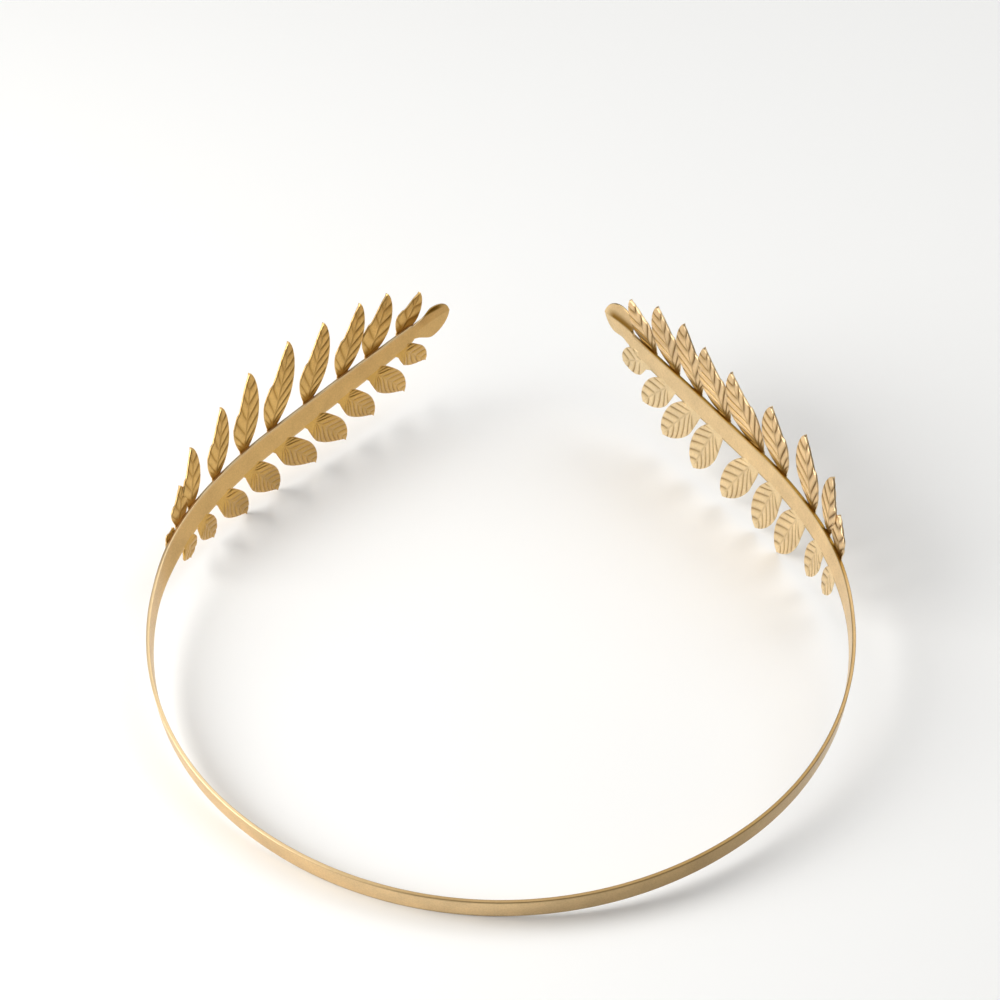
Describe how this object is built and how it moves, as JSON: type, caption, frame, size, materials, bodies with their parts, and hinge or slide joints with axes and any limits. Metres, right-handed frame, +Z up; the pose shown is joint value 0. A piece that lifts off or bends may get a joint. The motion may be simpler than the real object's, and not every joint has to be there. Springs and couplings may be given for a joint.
{
  "type": "leaf tiara",
  "caption": "Open metal tiara: a plain flat band round the back of the head, running at each side into a straight stem with veined leaves along both edges and an end leaf.",
  "frame": {"origin": "on the table, under the middle of the bounding box, with the tiara resting by itself on the back edge of its band and on one lower leaf of each branch", "axes": "+X to the wearer's right, +Y to the wearer's front, where the ring is open, +Z up from the table"},
  "size_m": [0.1511, 0.1625, 0.0411],
  "materials": {
    "band_metal": "satin gold plate",
    "left_metal": "satin gold plate, a shade darker",
    "right_metal": "satin gold plate, a shade paler"
  },
  "bodies": {
    "root": {"headband": "band_metal", "left_branch": "left_metal", "right_branch": "right_metal"}
  },
  "joints": []
}
